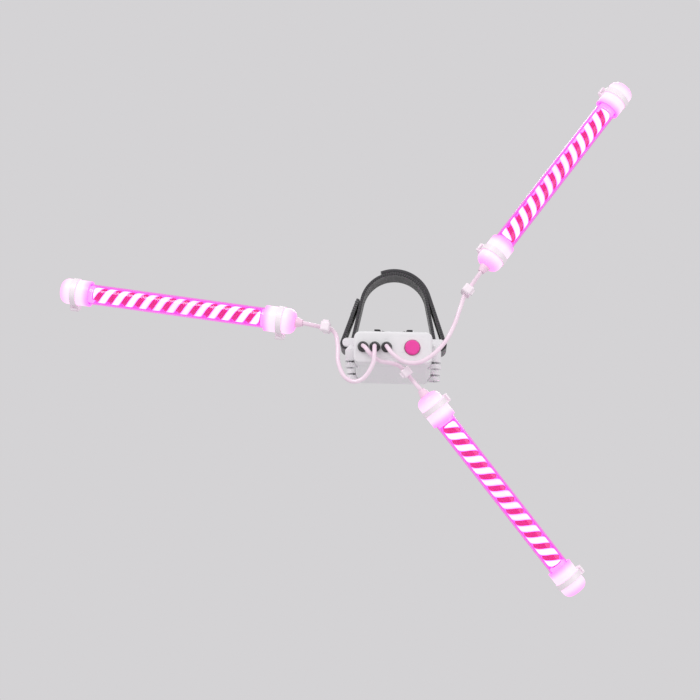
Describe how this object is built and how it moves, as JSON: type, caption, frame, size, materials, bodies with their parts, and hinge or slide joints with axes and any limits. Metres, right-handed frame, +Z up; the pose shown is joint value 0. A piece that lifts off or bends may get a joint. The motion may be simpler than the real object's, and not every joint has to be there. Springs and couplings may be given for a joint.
{
  "type": "spoke wheel light",
  "caption": "Clear spiral light tubes that tie along a wheel's spokes, joined by thin leads to a hub-strapped battery pack with a push button and a screwed cover.",
  "frame": {"origin": "centre of the hub that the strap grips", "axes": "+Y along the hub axle, away from the side that the tubes are tied to; +X right and +Z up as seen from that side"},
  "size_m": [0.2703, 0.0723, 0.2463],
  "materials": {
    "tube_clear": "clear pink-tinted plastic tube, polished",
    "cap_plastic": "frosted translucent pink plastic, lit from inside",
    "holder_plastic": "white moulded plastic",
    "led_lens": "water-clear lens, lit magenta",
    "rod_plastic": "clear pink rod whose raised spiral ribs glow white",
    "feed_copper": "red-enamelled copper wire",
    "boot_plastic": "soft clear plastic",
    "lead_jacket": "thin clear-white plastic jacket",
    "gland_rubber": "black rubber",
    "tie_nylon": "natural translucent nylon",
    "case_plastic": "white moulded plastic, fine spark texture",
    "seal_rubber": "grey rubber seal",
    "screw_steel": "zinc-plated steel",
    "cell_wrap": "plain wrapped cell, weighed as aluminium",
    "contact_steel": "nickel-plated spring steel",
    "board_green": "green coated board",
    "switch_black": "black switch body",
    "button_pink": "soft-touch pink button",
    "strap_fabric": "black hook-and-loop webbing",
    "pad_rubber": "grooved black rubber"
  },
  "bodies": {
    "light_set": {"case_base": "case_plastic", "end_panel": "case_plastic", "cell_1": "cell_wrap", "cell_2": "cell_wrap", "cell_3": "cell_wrap", "contact_springs": "contact_steel", "contact_plates": "contact_steel", "circuit_board": "board_green", "tact_switch": "switch_black", "hub_strap": "strap_fabric", "hub_pad": "pad_rubber", "tube_ties": "tie_nylon", "lead_ties": "tie_nylon", "left_light_tube": "tube_clear", "left_inner_cap": "cap_plastic", "left_outer_cap": "cap_plastic", "left_inner_holder": "holder_plastic", "left_outer_holder": "holder_plastic", "left_inner_led": "led_lens", "left_outer_led": "led_lens", "left_light_rod": "rod_plastic", "left_feed_wires": "feed_copper", "left_lead_boot": "boot_plastic", "left_lead": "lead_jacket", "left_lead_gland": "gland_rubber", "upper_light_tube": "tube_clear", "upper_inner_cap": "cap_plastic", "upper_outer_cap": "cap_plastic", "upper_inner_holder": "holder_plastic", "upper_outer_holder": "holder_plastic", "upper_inner_led": "led_lens", "upper_outer_led": "led_lens", "upper_light_rod": "rod_plastic", "upper_feed_wires": "feed_copper", "upper_lead_boot": "boot_plastic", "upper_lead": "lead_jacket", "upper_lead_gland": "gland_rubber", "lower_light_tube": "tube_clear", "lower_inner_cap": "cap_plastic", "lower_outer_cap": "cap_plastic", "lower_inner_holder": "holder_plastic", "lower_outer_holder": "holder_plastic", "lower_inner_led": "led_lens", "lower_outer_led": "led_lens", "lower_light_rod": "rod_plastic", "lower_feed_wires": "feed_copper", "lower_lead_boot": "boot_plastic", "lower_lead": "lead_jacket", "lower_lead_gland": "gland_rubber"},
    "button": {"power_button": "button_pink", "switch_plunger": "switch_black"},
    "cover": {"battery_cover": "case_plastic", "cover_seal": "seal_rubber", "cover_screws": "screw_steel"}
  },
  "joints": [
    {"name": "button_press", "type": "slide", "parent": "light_set", "child": "button", "axis": [0, 1, 0], "range_m": [0, 0.0007], "stiffness_N_per_m": 1500},
    {"name": "cover_lift", "type": "slide", "parent": "light_set", "child": "cover", "axis": [0, 0, -1], "range_m": [0, 0.03]}
  ]
}
